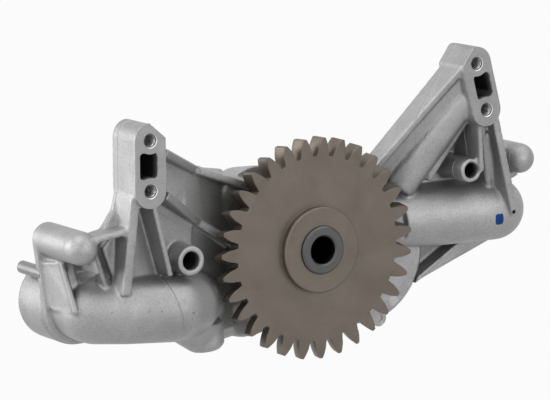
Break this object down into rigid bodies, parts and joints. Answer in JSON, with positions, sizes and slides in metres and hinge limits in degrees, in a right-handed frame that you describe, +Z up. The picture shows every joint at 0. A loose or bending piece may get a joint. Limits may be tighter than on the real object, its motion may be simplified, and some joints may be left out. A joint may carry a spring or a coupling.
{
  "type": "engine oil pump",
  "caption": "Gear-driven engine oil pump in a cast aluminium housing with two bolted mounting feet and a helical drive gear.",
  "frame": {"origin": "on the drive shaft's axis, in the plane of the two mounting feet's machined faces", "axes": "+Y along the drive axis from the gear to the back of the pump, +X to the right as seen from the gear, +Z up towards the feet"},
  "size_m": [0.3945, 0.102, 0.199],
  "materials": {
    "cast_housing": "matte as-cast, machined on the faces",
    "cast_cover": "matte as-cast, machined on the face",
    "gear_steel": "oiled and ground",
    "rotor_steel": "ground",
    "ground_steel": "ground",
    "spring_steel": "drawn wire",
    "plated_steel": "zinc plated",
    "bearing_bronze": "satin",
    "seal_rubber": "matte"
  },
  "bodies": {
    "housing": {"pump_housing": "cast_housing", "front_cover": "cast_cover", "cover_bolts": "plated_steel", "cover_dowels": "ground_steel", "drive_front_bush": "bearing_bronze", "drive_rear_bush": "bearing_bronze", "driven_front_bush": "bearing_bronze", "driven_rear_bush": "bearing_bronze", "rear_bore_plugs": "plated_steel", "relief_spring": "spring_steel", "relief_plug": "plated_steel", "locating_pin": "ground_steel", "suction_seal": "seal_rubber", "delivery_seal": "seal_rubber"},
    "drive_train": {"drive_gear": "gear_steel", "drive_shaft": "ground_steel", "thrust_washer": "bearing_bronze", "rotor_key": "ground_steel", "drive_rotor": "rotor_steel"},
    "driven_train": {"driven_rotor": "rotor_steel", "driven_shaft": "ground_steel"},
    "relief_valve": {"relief_plunger": "ground_steel"}
  },
  "joints": [
    {"name": "drive_spin", "type": "hinge", "parent": "housing", "child": "drive_train", "pos_m": [0, 0.05, 0], "axis": [0, 1, 0], "continuous": true},
    {"name": "driven_spin", "type": "hinge", "parent": "housing", "child": "driven_train", "pos_m": [0.05158, 0.071, -0.01908], "axis": [0, 1, 0], "continuous": true},
    {"name": "relief_slide", "type": "slide", "parent": "housing", "child": "relief_valve", "axis": [0, 1, 0], "range_m": [0, 0.009], "stiffness_N_per_m": 4000, "springref_m": -0.012, "deforming": ["relief_spring"]}
  ],
  "couplings": [
    {"joint": "driven_spin", "follows": "drive_spin", "ratio": -1}
  ]
}
